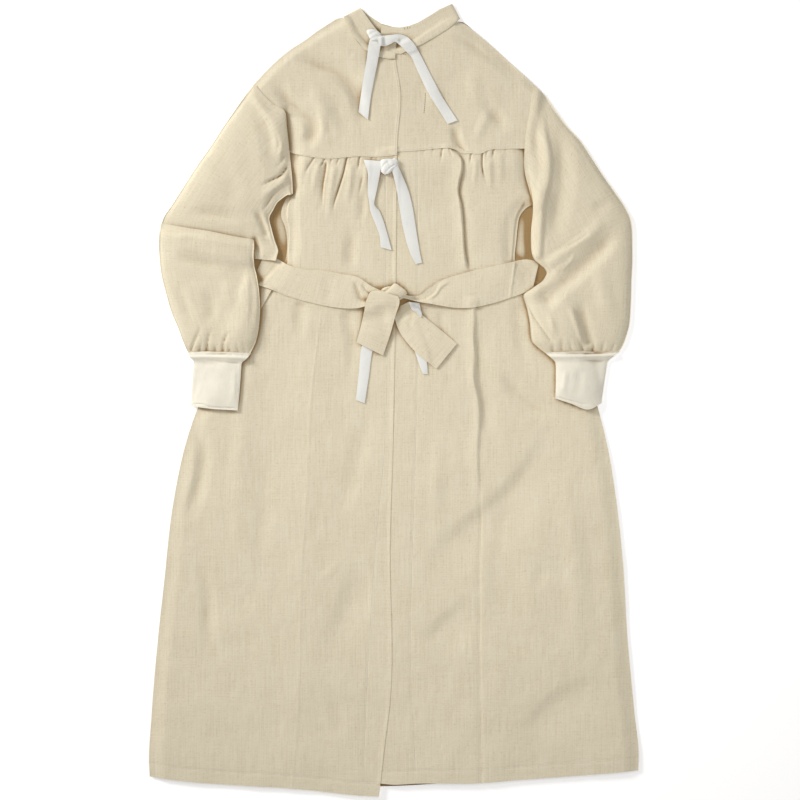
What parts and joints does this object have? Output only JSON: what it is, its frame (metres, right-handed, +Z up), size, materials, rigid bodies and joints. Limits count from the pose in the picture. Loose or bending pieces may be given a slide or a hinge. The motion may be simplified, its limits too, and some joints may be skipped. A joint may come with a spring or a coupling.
{
  "type": "medical smock",
  "caption": "Linen medical smock laid flat, with stand collar, gathered fronts under a yoke, full sleeves with jersey cuffs, cotton tape ties and a tied belt.",
  "frame": {"origin": "middle of the garment's footprint, on the surface that it lies on", "axes": "+Y from the hem to the collar, +X to the right as the open side is seen from above, +Z up out of the surface"},
  "size_m": [0.7808, 1.2668, 0.0182],
  "materials": {
    "linen": "undyed slubby linen, plain weave",
    "cotton_tape": "bleached cotton tape, fine twill",
    "jersey": "unbleached cotton jersey, knitted"
  },
  "bodies": {
    "root": {"back_panel": "linen", "skirt_left": "linen", "skirt_right": "linen", "yoke_left": "linen", "yoke_right": "linen", "collar_band": "linen", "sleeve_left": "linen", "sleeve_right": "linen", "cuff_left": "jersey", "cuff_right": "jersey", "belt_left": "linen", "belt_right": "linen", "belt_knot": "linen", "belt_tail_left": "linen", "belt_tail_right": "linen", "neck_tape_left": "cotton_tape", "neck_tape_right": "cotton_tape", "neck_tape_knot": "cotton_tape", "chest_tape_left": "cotton_tape", "chest_tape_right": "cotton_tape", "chest_tape_knot": "cotton_tape", "waist_tape_left": "cotton_tape", "waist_tape_right": "cotton_tape", "waist_tape_loop": "cotton_tape"}
  },
  "joints": []
}
